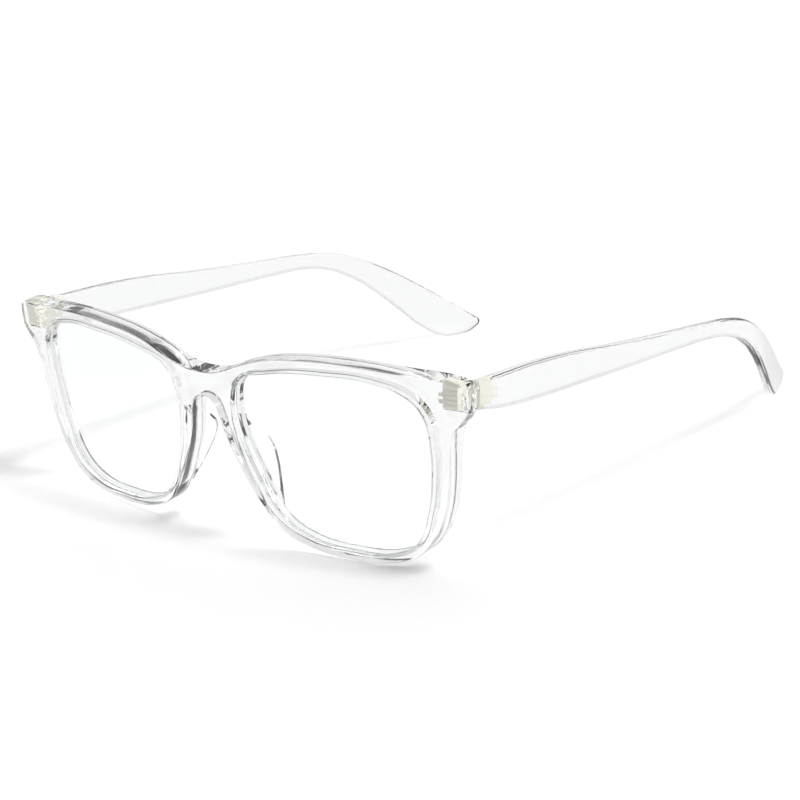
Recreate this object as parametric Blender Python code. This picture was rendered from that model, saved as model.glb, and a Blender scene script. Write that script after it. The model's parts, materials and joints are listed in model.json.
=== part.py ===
"""Clear moulded blue light glasses.

A rectangular front with a saddle bridge holds two fixed lenses and two nose pads.
Each temple folds on a five-knuckle hinge whose leaves sit in pockets in the front and in the temple.
The glasses stand on the rims and on the temple tips.  +X is across, the front faces -Y, +Z is up.
Lengths are in metres.
"""

import math

import bmesh
import bpy
from mathutils import Matrix, Vector

MM = 0.001

# Front: its own plane has x across, y to the rear and z up from the lowest point of the rims.
FRONT_HALF_WIDTH = 70.0 * MM
FRONT_DEPTH = 5.1 * MM
FRONT_TILT = math.radians(5.3)
WRAP_RADIUS = 260.0 * MM
EDGE_CHAMFER = 0.45 * MM
BRIDGE_TOP = 40.1 * MM
BRIDGE_UNDERSIDE = 34.2 * MM
BROW_TOP = 46.8 * MM
END_PIECE_TOP = 44.4 * MM
END_PIECE_LOW = 38.0 * MM
RIM_SHOULDER = 33.0 * MM
BEND_STEP = 7.0 * MM

# Lenses and the groove that holds them.
LENS_THICKNESS = 1.8 * MM
LENS_SET_BACK = 1.5 * MM
LENS_LIP = 0.6 * MM
FIT_GAP = 0.3 * MM

# Nose pads.
PAD_THICKNESS = 2.4 * MM
PAD_CHAMFER = 0.5 * MM
PAD_ROOT_X = 7.5 * MM
PAD_SLANT_TOP = 26.0 * MM
PAD_SLANT = 0.5
PAD_SLANT_EASE = 3.0 * MM

# Hinge: its axis is square to the temple, so it leans back by the temple's slope.
PIVOT = Vector((64.6 * MM, 5.0 * MM, 41.2 * MM))
JOINT_SET_BACK = 0.6 * MM
TEMPLE_SLOPE = math.radians(6.0)
KNUCKLE_RADIUS = 1.45 * MM
KNUCKLE_COUNT = 5
KNUCKLE_HEIGHT = 0.88 * MM
KNUCKLE_GAP = 0.2 * MM
SCREW_RADIUS = 0.6 * MM
SCREW_CLEARANCE = 0.1 * MM
SCREW_HEAD_RADIUS = 1.1 * MM
SCREW_HEAD_HEIGHT = 0.5 * MM
LEAF_POCKET_GAP = 0.25 * MM
PRONG_SIZE = 0.9 * MM
PRONG_SPACING = 1.6 * MM
PRONG_DROP = 0.3 * MM
FRONT_PRONG_LENGTH = 1.3 * MM
TEMPLE_PRONG_LENGTH = 2.4 * MM
PRONG_ROOT = 0.3 * MM
SCREW_SLOT_WIDTH = 0.32 * MM

# Plan of the hinge leaves in the hinge's frame: (low x, low y, high x, high y).
FRONT_LEAF = (-1.2 * MM, -3.5 * MM, 2.7 * MM, -1.7 * MM)
FRONT_ARM = (-1.4 * MM, -2.0 * MM, 1.4 * MM, 0.0)
TEMPLE_LEAF = (1.1 * MM, 2.2 * MM, 2.9 * MM, 6.1 * MM)
TEMPLE_ARM = (0.0, 0.0, 1.4 * MM, 2.5 * MM)

# Plan of the rooms for the knuckles, and how far above the axis's middle the screw room is open.
FRONT_ROOM = (-1.8 * MM, -1.8 * MM, 1.8 * MM, 4.0 * MM)
SCREW_ROOM = (-1.4 * MM, -1.4 * MM, 1.4 * MM, 4.0 * MM)
TEMPLE_ROOM = (-3.0 * MM, -4.0 * MM, 2.0 * MM, 2.0 * MM)
ROOM_HEIGHT = 6.0 * MM

# Temples: distances are from the hinge axis, in the temple's own frame.
TEMPLE_OUTER = 4.6 * MM
TEMPLE_THICKNESS = 3.5 * MM
TIP_THICKNESS = 2.3 * MM
TEMPLE_REACH = 148.2 * MM
TEMPLE_CONVERGENCE = 0.016
TIP_CURVE_START = 88.0 * MM
TIP_CURVE_END = 128.0 * MM
TIP_CURVE_RADIUS = 107.0 * MM
TEMPLE_CHAMFER = 0.7 * MM

# The front's datum lies this far ahead of the origin.
FRONT_DATUM = Vector((0.0, -4.8 * MM, -0.2 * MM))


def clear_scene():
    """Remove every object of the scene."""
    for thing in list(bpy.data.objects):
        bpy.data.objects.remove(thing, do_unlink=True)


def make_collection(name):
    """Return a new collection linked to the scene."""
    collection = bpy.data.collections.new(name)
    bpy.context.scene.collection.children.link(collection)
    return collection


def make_material(name, colour, roughness, metallic, transmission=0.0):
    """Return a Principled material."""
    material = bpy.data.materials.new(name)
    material.use_nodes = True
    shader = material.node_tree.nodes["Principled BSDF"]
    shader.inputs["Base Color"].default_value = (*colour, 1.0)
    shader.inputs["Roughness"].default_value = roughness
    shader.inputs["Metallic"].default_value = metallic
    shader.inputs["Transmission Weight"].default_value = transmission
    material.diffuse_color = (*colour, 1.0)
    return material


def add_object(name, mesh, collection, material):
    """Return a new object that holds the mesh."""
    thing = bpy.data.objects.new(name, mesh)
    mesh.name = name
    if material is not None:
        mesh.materials.clear()
        mesh.materials.append(material)
    collection.objects.link(thing)
    return thing


def as_cutter(thing):
    """Mark an object as a cutter."""
    thing.hide_render = True
    thing.display_type = "WIRE"
    return thing


def outline_spline(curve, points, steps):
    """Add one closed Bezier outline: (across, up, is_corner) for each point."""
    spline = curve.splines.new("BEZIER")
    spline.bezier_points.add(len(points) - 1)
    spline.use_cyclic_u = True
    spline.resolution_u = steps
    for knot, (across, up, is_corner) in zip(spline.bezier_points, points):
        knot.co = (across * MM, up * MM, 0.0)
        kind = "VECTOR" if is_corner else "AUTO"
        knot.handle_left_type = kind
        knot.handle_right_type = kind


def plate_mesh(name, outlines, depth, chamfer=0.0, grow=0.0, steps=6):
    """Return a plate cut to closed outlines: x across, z up, y from 0 to the depth."""
    curve = bpy.data.curves.new(name, "CURVE")
    curve.dimensions = "2D"
    curve.fill_mode = "BOTH"
    curve.extrude = depth / 2.0 - chamfer
    curve.bevel_depth = chamfer
    curve.bevel_resolution = 0
    curve.offset = grow - chamfer
    for points in outlines:
        outline_spline(curve, points, steps)
    guide = bpy.data.objects.new(name, curve)
    bpy.context.scene.collection.objects.link(guide)
    bpy.context.view_layer.update()
    mesh = bpy.data.meshes.new_from_object(guide.evaluated_get(bpy.context.evaluated_depsgraph_get()))
    bpy.data.objects.remove(guide, do_unlink=True)
    bpy.data.curves.remove(curve)
    mesh.transform(Matrix.Translation((0.0, depth / 2.0, 0.0)) @ Matrix.Rotation(math.pi / 2.0, 4, "X"))
    work = bmesh.new()
    work.from_mesh(mesh)
    bmesh.ops.remove_doubles(work, verts=work.verts, dist=0.00001)
    bmesh.ops.recalc_face_normals(work, faces=work.faces)
    work.to_mesh(mesh)
    work.free()
    return mesh


def slice_mesh(mesh, axis, start, stop, step):
    """Add edges where planes across one axis cross the mesh, so that it can bend there."""
    normal = Vector((0.0, 0.0, 0.0))
    normal[axis] = 1.0
    work = bmesh.new()
    work.from_mesh(mesh)
    bmesh.ops.dissolve_limit(work, angle_limit=0.001, verts=work.verts, edges=work.edges)
    place = start
    while place < stop:
        everything = work.verts[:] + work.edges[:] + work.faces[:]
        bmesh.ops.bisect_plane(work, geom=everything, plane_co=normal * place, plane_no=normal)
        place += step
    bmesh.ops.triangulate(work, faces=work.faces)
    work.to_mesh(mesh)
    work.free()


def shift_points(mesh, rule):
    """Move every point of a mesh to where a rule puts it."""
    for point in mesh.vertices:
        point.co = rule(point.co)
    mesh.update()


def wrap(place):
    """Bend the front round the face: the sides run back."""
    return Vector((place.x, place.y + place.x**2 / (2.0 * WRAP_RADIUS), place.z))


def front_frame():
    """Return the matrix that stands the front on its datum and leans its top forward."""
    return Matrix.Translation(FRONT_DATUM) @ Matrix.Rotation(FRONT_TILT, 4, "X")


def hinge_frame(side):
    """Return the matrix of the hinge on one side: z is the axis and y runs along the temple."""
    place = Matrix.Translation((side * PIVOT.x, PIVOT.y, PIVOT.z))
    return place @ Matrix.Rotation(-TEMPLE_SLOPE, 4, "X")


def box_mesh(name, plan, bottom, top):
    """Return an upright box from its plan (low x, low y, high x, high y) and its two levels."""
    low = (plan[0], plan[1], bottom)
    high = (plan[2], plan[3], top)
    work = bmesh.new()
    bmesh.ops.create_cube(work, size=1.0)
    for vert in work.verts:
        for axis in range(3):
            middle = (low[axis] + high[axis]) / 2.0
            vert.co[axis] = middle + vert.co[axis] * (high[axis] - low[axis])
    mesh = bpy.data.meshes.new(name)
    work.to_mesh(mesh)
    work.free()
    return mesh


def rod_mesh(name, radius, low, high, sides=24):
    """Return an upright cylinder on the z axis, in metres."""
    work = bmesh.new()
    depth = high - low
    bmesh.ops.create_cone(work, cap_ends=True, segments=sides, radius1=radius, radius2=radius, depth=depth)
    bmesh.ops.translate(work, verts=work.verts, vec=(0.0, 0.0, (low + high) / 2.0))
    mesh = bpy.data.meshes.new(name)
    work.to_mesh(mesh)
    work.free()
    return mesh


def combine(target, tool, operation):
    """Join or cut the target with a tool by a Boolean modifier that stays on it."""
    modifier = target.modifiers.new(tool.name, "BOOLEAN")
    modifier.operation = operation
    modifier.solver = "EXACT"
    modifier.object = tool


def mirrored(mesh):
    """Return a copy of a mesh reflected to the other side, faces still pointing out."""
    copy = mesh.copy()
    copy.transform(Matrix.Scale(-1.0, 4, (1.0, 0.0, 0.0)))
    copy.flip_normals()
    return copy


def front_outline():
    """Return the front's outline in millimetres, from the bridge's top round the right rim and back."""
    right_half = [
        (0.0, BRIDGE_TOP / MM, False),
        (6.0, 40.8, False),
        (12.5, 43.2, False),
        (20.0, 45.4, False),
        (30.0, 46.6, False),
        (40.0, BROW_TOP / MM, False),
        (55.0, 45.8, False),
        (67.0, END_PIECE_TOP / MM, False),
        (69.3, 43.4, False),
        (FRONT_HALF_WIDTH / MM, 41.6, True),
        (FRONT_HALF_WIDTH / MM, END_PIECE_LOW / MM, True),
        (68.3, 35.9, False),
        (66.3, 34.0, False),
        (65.0, 31.0, False),
        (64.3, 27.4, False),
        (63.4, 21.0, False),
        (61.6, 14.0, False),
        (58.2, 7.4, False),
        (52.8, 2.4, False),
        (46.0, 0.4, False),
        (40.5, 0.0, True),
        (33.5, 0.0, True),
        (26.0, 1.1, False),
        (18.0, 4.3, False),
        (13.2, 10.0, False),
        (8.7, 17.6, False),
        (5.4, 25.0, False),
        (4.2, 29.8, False),
        (2.8, 33.0, False),
        (0.0, BRIDGE_UNDERSIDE / MM, False),
    ]
    left_half = [(-across, up, is_corner) for across, up, is_corner in reversed(right_half[1:-1])]
    return right_half + left_half


def lens_outline(side):
    """Return the visible edge of one lens opening, in millimetres."""
    right = [
        (60.0, 30.0, False),
        (59.2, 36.4, False),
        (55.8, 40.4, False),
        (48.8, 42.9, False),
        (36.0, 43.6, False),
        (20.0, 42.1, False),
        (11.4, 39.3, False),
        (8.9, 33.6, False),
        (9.6, 24.0, False),
        (12.6, 15.7, False),
        (16.6, 8.4, False),
        (23.6, 3.9, False),
        (36.0, 2.1, False),
        (48.0, 3.0, False),
        (54.2, 6.6, False),
        (57.6, 14.0, False),
        (59.4, 22.0, False),
    ]
    if side > 0:
        return right
    return [(-across, up, is_corner) for across, up, is_corner in reversed(right)]


def temple_outline():
    """Return a temple's side outline in millimetres: along from the hinge axis, and up."""
    top = [
        (-(JOINT_SET_BACK - FIT_GAP) / MM, 2.9, True),
        (6.0, 3.1, False),
        (20.0, 3.7, False),
        (34.0, 3.7, False),
        (50.0, 2.9, False),
        (72.0, 2.2, False),
        (90.0, 1.8, False),
        (99.0, 1.2, False),
        (109.0, -0.8, False),
        (120.6, -5.6, False),
        (131.0, -11.4, False),
        (140.0, -17.0, False),
        (146.4, -21.2, False),
        (TEMPLE_REACH / MM, -22.8, False),
    ]
    bottom = [
        (146.4, -25.0, False),
        (142.0, -26.4, False),
        (137.8, -26.4, False),
        (131.6, -23.2, False),
        (124.2, -17.2, False),
        (117.0, -11.6, False),
        (109.5, -7.0, False),
        (101.5, -3.9, False),
        (92.4, -2.5, False),
        (78.8, -2.6, False),
        (60.0, -3.4, False),
        (40.0, -4.1, False),
        (24.0, -4.6, False),
        (12.0, -4.5, False),
        (4.0, -3.7, False),
        (-(JOINT_SET_BACK - FIT_GAP) / MM, -3.2, True),
    ]
    return top + bottom


def pad_outline():
    """Return a nose pad's side outline in millimetres: rearward from its root, and up."""
    return [
        (0.0, 29.6, True),
        (1.0, 27.6, False),
        (2.9, 25.3, False),
        (4.7, 23.0, False),
        (5.3, 20.4, False),
        (4.7, 17.4, False),
        (3.3, 14.2, False),
        (1.7, 11.2, False),
        (0.0, 8.2, True),
    ]


def trim_to_joint(place):
    """Thin the end pieces so that their rear faces lie on the joint planes, square to the temples."""
    share = (place.z - RIM_SHOULDER) / (END_PIECE_LOW - RIM_SHOULDER)
    share = min(max(share, 0.0), 1.0)
    to_front = front_frame().inverted() @ hinge_frame(1)
    point = to_front @ Vector((0.0, -JOINT_SET_BACK, 0.0))
    normal = to_front.to_3x3() @ Vector((0.0, 1.0, 0.0))
    joint = point.y - (place.z - point.z) * normal.z / normal.y
    room = joint - place.x**2 / (2.0 * WRAP_RADIUS)
    squeeze = min(room / FRONT_DEPTH, 1.0)
    return Vector((place.x, place.y * (1.0 + (squeeze - 1.0) * share), place.z))


def front_mesh():
    """Return the moulded front before its grooves and pockets are cut."""
    outlines = [front_outline(), lens_outline(1), lens_outline(-1)]
    mesh = plate_mesh("frame_front", outlines, FRONT_DEPTH, EDGE_CHAMFER, steps=4)
    slice_mesh(mesh, 0, -FRONT_HALF_WIDTH + BEND_STEP, FRONT_HALF_WIDTH, BEND_STEP)
    slice_mesh(mesh, 2, RIM_SHOULDER, END_PIECE_LOW + 0.1 * MM, END_PIECE_LOW - RIM_SHOULDER)
    shift_points(mesh, trim_to_joint)
    shift_points(mesh, wrap)
    return mesh


def lens_mesh(name, side, grow, depth, set_back):
    """Return a wrapped plate that follows one lens opening, grown past its edge."""
    mesh = plate_mesh(name, [lens_outline(side)], depth, grow=grow, steps=4)
    mesh.transform(Matrix.Translation((0.0, set_back, 0.0)))
    slice_mesh(mesh, 0, -FRONT_HALF_WIDTH + BEND_STEP, FRONT_HALF_WIDTH, BEND_STEP)
    shift_points(mesh, wrap)
    return mesh


def turn_edgeways(mesh, outer):
    """Turn a plate so that its outline runs along y and its outer face lies at x = outer."""
    mesh.transform(Matrix.Translation((outer, 0.0, 0.0)) @ Matrix.Rotation(math.pi / 2.0, 4, "Z"))


def pad_mesh():
    """Return the right nose pad: a fin on the rim's rear that follows the slant of the nose side."""
    mesh = plate_mesh("nose_pad", [pad_outline()], PAD_THICKNESS, PAD_CHAMFER, steps=3)
    turn_edgeways(mesh, PAD_THICKNESS / 2.0)

    def follow_rim(place):
        below = max(0.0, PAD_SLANT_TOP - place.z)
        across = place.x + PAD_ROOT_X + PAD_SLANT * below**2 / (below + PAD_SLANT_EASE)
        return wrap(Vector((across, place.y + FRONT_DEPTH + FIT_GAP, place.z)))

    slice_mesh(mesh, 2, 9.0 * MM, PAD_SLANT_TOP, 3.0 * MM)
    shift_points(mesh, follow_rim)
    return mesh


def inward(along):
    """Return how far a temple's outer face has turned in at a distance from the hinge."""
    inset = TEMPLE_CONVERGENCE * along
    curved = min(max(along - TIP_CURVE_START, 0.0), TIP_CURVE_END - TIP_CURVE_START)
    straight = max(along - TIP_CURVE_END, 0.0)
    inset += curved**2 / (2.0 * TIP_CURVE_RADIUS)
    inset += straight * (TIP_CURVE_END - TIP_CURVE_START) / TIP_CURVE_RADIUS
    return inset


def temple_shape(place):
    """Thin a straight temple towards its tip and turn the tip in."""
    share = min(max(place.y / TEMPLE_REACH, 0.0), 1.0)
    thickness = TEMPLE_THICKNESS + (TIP_THICKNESS - TEMPLE_THICKNESS) * share
    depth = (TEMPLE_OUTER - place.x) / TEMPLE_THICKNESS * thickness
    return Vector((TEMPLE_OUTER - inward(place.y) - depth, place.y, place.z))


def temple_mesh():
    """Return the right temple in its hinge's frame."""
    mesh = plate_mesh("temple", [temple_outline()], TEMPLE_THICKNESS, TEMPLE_CHAMFER, steps=4)
    turn_edgeways(mesh, TEMPLE_OUTER)
    slice_mesh(mesh, 1, TIP_CURVE_START, TEMPLE_REACH, BEND_STEP)
    shift_points(mesh, temple_shape)
    return mesh


def fuse(name, meshes, holes=()):
    """Join closed meshes into one body, cut the holes from it and return its mesh."""
    things = []
    for shape in [*meshes, *holes]:
        thing = bpy.data.objects.new(name, shape)
        bpy.context.scene.collection.objects.link(thing)
        things.append(thing)
    base = things[0]
    for number, tool in enumerate(things[1:], start=1):
        combine(base, tool, "UNION" if number < len(meshes) else "DIFFERENCE")
    bpy.context.view_layer.update()
    mesh = bpy.data.meshes.new_from_object(base.evaluated_get(bpy.context.evaluated_depsgraph_get()))
    for thing in things:
        bpy.data.objects.remove(thing, do_unlink=True)
    return mesh


def knuckle_levels(first):
    """Return the middle heights of every second knuckle, from the first one given."""
    pitch = KNUCKLE_HEIGHT + KNUCKLE_GAP
    middle = (KNUCKLE_COUNT - 1) / 2.0
    return [(number - middle) * pitch for number in range(first, KNUCKLE_COUNT, 2)]


def stack_half_height():
    """Return half the height of the whole knuckle stack."""
    return (KNUCKLE_COUNT * KNUCKLE_HEIGHT + (KNUCKLE_COUNT - 1) * KNUCKLE_GAP) / 2.0


def leaf_mesh(name, block, prongs, arm, first_knuckle):
    """Return a hinge leaf: a block with prongs, and arms that carry the drilled knuckles.

    Block and arm are plans; each prong is a plan with its two levels.
    """
    stack = stack_half_height()
    shapes = [box_mesh(name, block, -stack, stack)]
    shapes += [box_mesh(name, *prong) for prong in prongs]
    half = KNUCKLE_HEIGHT / 2.0
    for level in knuckle_levels(first_knuckle):
        shapes.append(box_mesh(name, arm, level - half, level + half))
        shapes.append(rod_mesh(name, KNUCKLE_RADIUS, level - half, level + half))
    hole = rod_mesh(name, SCREW_RADIUS + SCREW_CLEARANCE, -2.0 * stack, 2.0 * stack)
    return fuse(name, shapes, [hole])


def prong_spans():
    """Return the bottom and top of each of a leaf's two prongs."""
    spans = []
    for level in (-PRONG_SPACING / 2.0, PRONG_SPACING / 2.0):
        middle = level - PRONG_DROP
        spans.append((middle - PRONG_SIZE / 2.0, middle + PRONG_SIZE / 2.0))
    return spans


def front_prongs():
    """Return the front leaf's prongs, which point towards the lens: each a plan and its levels."""
    left, front, _, back = FRONT_LEAF
    near = (front + back - PRONG_SIZE) / 2.0
    plan = (left - FRONT_PRONG_LENGTH, near, left + PRONG_ROOT, near + PRONG_SIZE)
    return [(plan, *span) for span in prong_spans()]


def temple_prongs():
    """Return the temple leaf's prongs, which point along the temple: each a plan and its levels."""
    left, _, right, back = TEMPLE_LEAF
    near = (left + right - PRONG_SIZE) / 2.0
    plan = (near, back - PRONG_ROOT, near + PRONG_SIZE, back + TEMPLE_PRONG_LENGTH)
    return [(plan, *span) for span in prong_spans()]


def widened(plan, gap, reach=(0.0, 0.0, 0.0, 0.0)):
    """Return a plan grown by a gap all round and by a reach on each of its four sides."""
    return (
        plan[0] - gap - reach[0],
        plan[1] - gap - reach[1],
        plan[2] + gap + reach[2],
        plan[3] + gap + reach[3],
    )


def pocket_shapes(name, block, prongs, reach):
    """Return the boxes that make room for a leaf's block and prongs."""
    gap = LEAF_POCKET_GAP
    stack = stack_half_height() + gap
    shapes = [box_mesh(name, widened(block, gap, reach), -stack, stack)]
    for plan, bottom, top in prongs:
        shapes.append(box_mesh(name, widened(plan, gap), bottom - gap, top + gap))
    return shapes


def front_pocket_mesh():
    """Return the cutter for the front leaf, its knuckles and the screw's head."""
    stack = stack_half_height()
    shapes = pocket_shapes("front_pocket", FRONT_LEAF, front_prongs(), (0.0, 0.0, 0.0, FRONT_ROOM[3]))
    shapes.append(box_mesh("front_pocket", FRONT_ROOM, -stack - FIT_GAP, stack + FIT_GAP))
    shapes.append(box_mesh("front_pocket", SCREW_ROOM, 0.0, ROOM_HEIGHT))
    return fuse("front_pocket", shapes)


def temple_pocket_mesh():
    """Return the cutter for the temple leaf and for the knuckles beside the temple's front end."""
    reach = (KNUCKLE_RADIUS, KNUCKLE_RADIUS, 0.0, 0.0)
    shapes = pocket_shapes("temple_pocket", TEMPLE_LEAF, temple_prongs(), reach)
    shapes.append(box_mesh("temple_pocket", TEMPLE_ROOM, -ROOM_HEIGHT, ROOM_HEIGHT))
    return fuse("temple_pocket", shapes)


def screw_mesh():
    """Return the hinge screw: a shank with a slotted head on top."""
    half = stack_half_height()
    head_low = half + SCREW_CLEARANCE
    head_high = head_low + SCREW_HEAD_HEIGHT
    slot_floor = head_high - SCREW_HEAD_HEIGHT / 2.0
    shank = rod_mesh("screw", SCREW_RADIUS, -half - SCREW_CLEARANCE, slot_floor)
    head = rod_mesh("screw", SCREW_HEAD_RADIUS, head_low, head_high)
    reach = 2.0 * SCREW_HEAD_RADIUS
    plan = (-reach, -SCREW_SLOT_WIDTH / 2.0, reach, SCREW_SLOT_WIDTH / 2.0)
    slot = box_mesh("screw", plan, slot_floor, head_high + SCREW_HEAD_HEIGHT)
    return fuse("screw", [shank, head], [slot])


def place_on_side(name, mesh, side, parent, collection, material):
    """Add the right-hand mesh, or its reflection on the left, under a parent."""
    shape = mesh.copy() if side > 0 else mirrored(mesh)
    thing = add_object(name, shape, collection, material)
    thing.parent = parent
    return thing


def make_empty(name, matrix, collection, parent=None):
    """Return an empty at a frame."""
    empty = bpy.data.objects.new(name, None)
    empty.empty_display_size = 5.0 * MM
    collection.objects.link(empty)
    empty.parent = parent
    empty.matrix_local = matrix
    return empty


def smooth(collection):
    """Shade the round faces smooth and keep the real edges sharp."""
    for thing in collection.objects:
        if thing.type == "MESH":
            thing.data.shade_smooth()
            thing.data.set_sharp_from_angle(angle=math.radians(35.0))


def stand_on_origin(root, collection):
    """Move the root so that the origin is under the middle of the glasses."""
    bpy.context.view_layer.update()
    graph = bpy.context.evaluated_depsgraph_get()
    corners = []
    for thing in collection.objects:
        if thing.type == "MESH":
            solid = thing.evaluated_get(graph)
            corners += [solid.matrix_world @ point.co for point in solid.data.vertices]
    low = Vector([min(corner[axis] for corner in corners) for axis in range(3)])
    high = Vector([max(corner[axis] for corner in corners) for axis in range(3)])
    root.location = (0.0, -(low.y + high.y) / 2.0, -low.z)
    bpy.context.view_layer.update()


def main():
    """Model the glasses."""
    clear_scene()
    parts = make_collection("blue_light_glasses")
    cutters = make_collection("cutters")
    clear_plastic = make_material("clear_plastic", (0.96, 0.97, 0.98), 0.04, 0.0, 1.0)
    coated_lens = make_material("coated_lens", (0.94, 0.97, 1.0), 0.02, 0.0, 1.0)
    pad_plastic = make_material("pad_plastic", (0.97, 0.98, 0.98), 0.06, 0.0, 1.0)
    nickel_silver = make_material("nickel_silver", (0.86, 0.84, 0.74), 0.28, 1.0)
    screw_steel = make_material("screw_steel", (0.62, 0.61, 0.58), 0.3, 1.0)

    root = make_empty("glasses", Matrix.Identity(4), parts)
    front_root = make_empty("front", front_frame(), parts, root)
    frame = add_object("frame_front", front_mesh(), parts, clear_plastic)
    frame.parent = front_root

    front_leaf = leaf_mesh("front_hinge", FRONT_LEAF, front_prongs(), FRONT_ARM, 0)
    temple_leaf = leaf_mesh("temple_hinge", TEMPLE_LEAF, temple_prongs(), TEMPLE_ARM, 1)
    front_pocket = front_pocket_mesh()
    temple_pocket = temple_pocket_mesh()
    pad = pad_mesh()
    screw = screw_mesh()
    temple = temple_mesh()

    for side, label in ((1, "right"), (-1, "left")):
        lens = lens_mesh(f"lens_{label}", side, LENS_LIP, LENS_THICKNESS, LENS_SET_BACK)
        add_object(f"lens_{label}", lens, parts, coated_lens).parent = front_root
        groove_depth = LENS_THICKNESS + 2.0 * FIT_GAP
        groove_name = f"lens_groove_{label}"
        groove = lens_mesh(groove_name, side, LENS_LIP + FIT_GAP, groove_depth, LENS_SET_BACK - FIT_GAP)
        groove_cutter = as_cutter(add_object(groove_name, groove, cutters, None))
        groove_cutter.parent = front_root
        combine(frame, groove_cutter, "DIFFERENCE")
        place_on_side(f"nose_pad_{label}", pad, side, front_root, parts, pad_plastic)

        hinge = make_empty(f"hinge_{label}", hinge_frame(side), parts, root)
        fold = make_empty(f"temple_{label}_fold", hinge_frame(side), parts, root)
        place_on_side(f"front_hinge_{label}", front_leaf, side, hinge, parts, nickel_silver)
        place_on_side(f"hinge_screw_{label}", screw, side, hinge, parts, screw_steel)
        place_on_side(f"temple_hinge_{label}", temple_leaf, side, fold, parts, nickel_silver)
        arm = place_on_side(f"temple_{label}", temple, side, fold, parts, clear_plastic)
        front_tool = place_on_side(f"front_pocket_{label}", front_pocket, side, hinge, cutters, None)
        combine(frame, as_cutter(front_tool), "DIFFERENCE")
        temple_tool = place_on_side(f"temple_pocket_{label}", temple_pocket, side, fold, cutters, None)
        combine(arm, as_cutter(temple_tool), "DIFFERENCE")

    smooth(parts)
    stand_on_origin(root, parts)


main()
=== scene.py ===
"""Clear blue light glasses: fine surfaces, finishes, floor, light and camera.

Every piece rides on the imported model's bodies.  Lengths are in metres, +X is across the glasses,
the front faces -Y and +Z is up.
"""

import json
import logging
import math
from dataclasses import dataclass, field
from enum import Enum
from typing import Callable

import bmesh
import bpy
from mathutils import Matrix, Vector


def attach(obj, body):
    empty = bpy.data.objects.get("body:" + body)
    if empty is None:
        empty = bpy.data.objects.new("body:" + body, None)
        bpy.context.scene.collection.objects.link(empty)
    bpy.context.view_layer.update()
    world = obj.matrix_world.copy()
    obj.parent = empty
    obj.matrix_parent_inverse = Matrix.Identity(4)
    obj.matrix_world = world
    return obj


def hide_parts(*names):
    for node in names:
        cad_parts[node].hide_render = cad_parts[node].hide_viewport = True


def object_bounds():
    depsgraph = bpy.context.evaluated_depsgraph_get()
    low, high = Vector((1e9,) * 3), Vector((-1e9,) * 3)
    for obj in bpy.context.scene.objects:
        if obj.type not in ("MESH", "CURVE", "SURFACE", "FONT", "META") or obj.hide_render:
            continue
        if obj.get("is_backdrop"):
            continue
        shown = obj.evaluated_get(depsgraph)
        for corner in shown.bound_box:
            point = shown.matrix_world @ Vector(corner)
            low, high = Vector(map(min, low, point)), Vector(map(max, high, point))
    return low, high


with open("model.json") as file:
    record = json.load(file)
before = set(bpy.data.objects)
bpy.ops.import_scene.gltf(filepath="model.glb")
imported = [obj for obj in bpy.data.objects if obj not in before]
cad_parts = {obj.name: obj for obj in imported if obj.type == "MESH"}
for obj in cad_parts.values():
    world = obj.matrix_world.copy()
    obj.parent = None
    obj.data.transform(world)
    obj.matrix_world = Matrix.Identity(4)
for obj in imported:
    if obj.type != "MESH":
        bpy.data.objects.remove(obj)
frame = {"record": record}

LOG = logging.getLogger("glasses")
MM = 0.001
MERGE_DISTANCE = 0.0000005
OUTLINE_MERGE_DISTANCE = 0.000002
CUT_TOLERANCE = 0.0000001
FLAT_ANGLE = 0.001
EDGE_STEPS = 2
OUTLINE_EDGE_STEPS = 3
ROUND_STEPS = 48
FACE_AREA_WEIGHT = 100
SHARP_DEGREES = 30.0
HINGE_SHARP_DEGREES = 40.0
Outline = list[tuple[float, float, bool]]
Plan = tuple[float, float, float, float]
Colour = tuple[float, float, float]


class Side(Enum):
    """The two sides of the glasses, by the sign of their x."""

    RIGHT = 1
    LEFT = -1

    @property
    def label(self) -> str:
        """The side's word in the names of pieces."""
        return self.name.lower()


class Body(Enum):
    """The bodies that pieces ride on."""

    FRONT = "front"
    TEMPLE_RIGHT = "temple_right"
    TEMPLE_LEFT = "temple_left"

    @classmethod
    def temple(cls, side: Side) -> "Body":
        """The temple body of one side."""
        return cls.TEMPLE_RIGHT if side is Side.RIGHT else cls.TEMPLE_LEFT


class Cut(Enum):
    """What a Boolean does with its tool."""

    JOIN = "UNION"
    REMOVE = "DIFFERENCE"


# --- Shader groups and finishes -------------------------------------------------------------------


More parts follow.
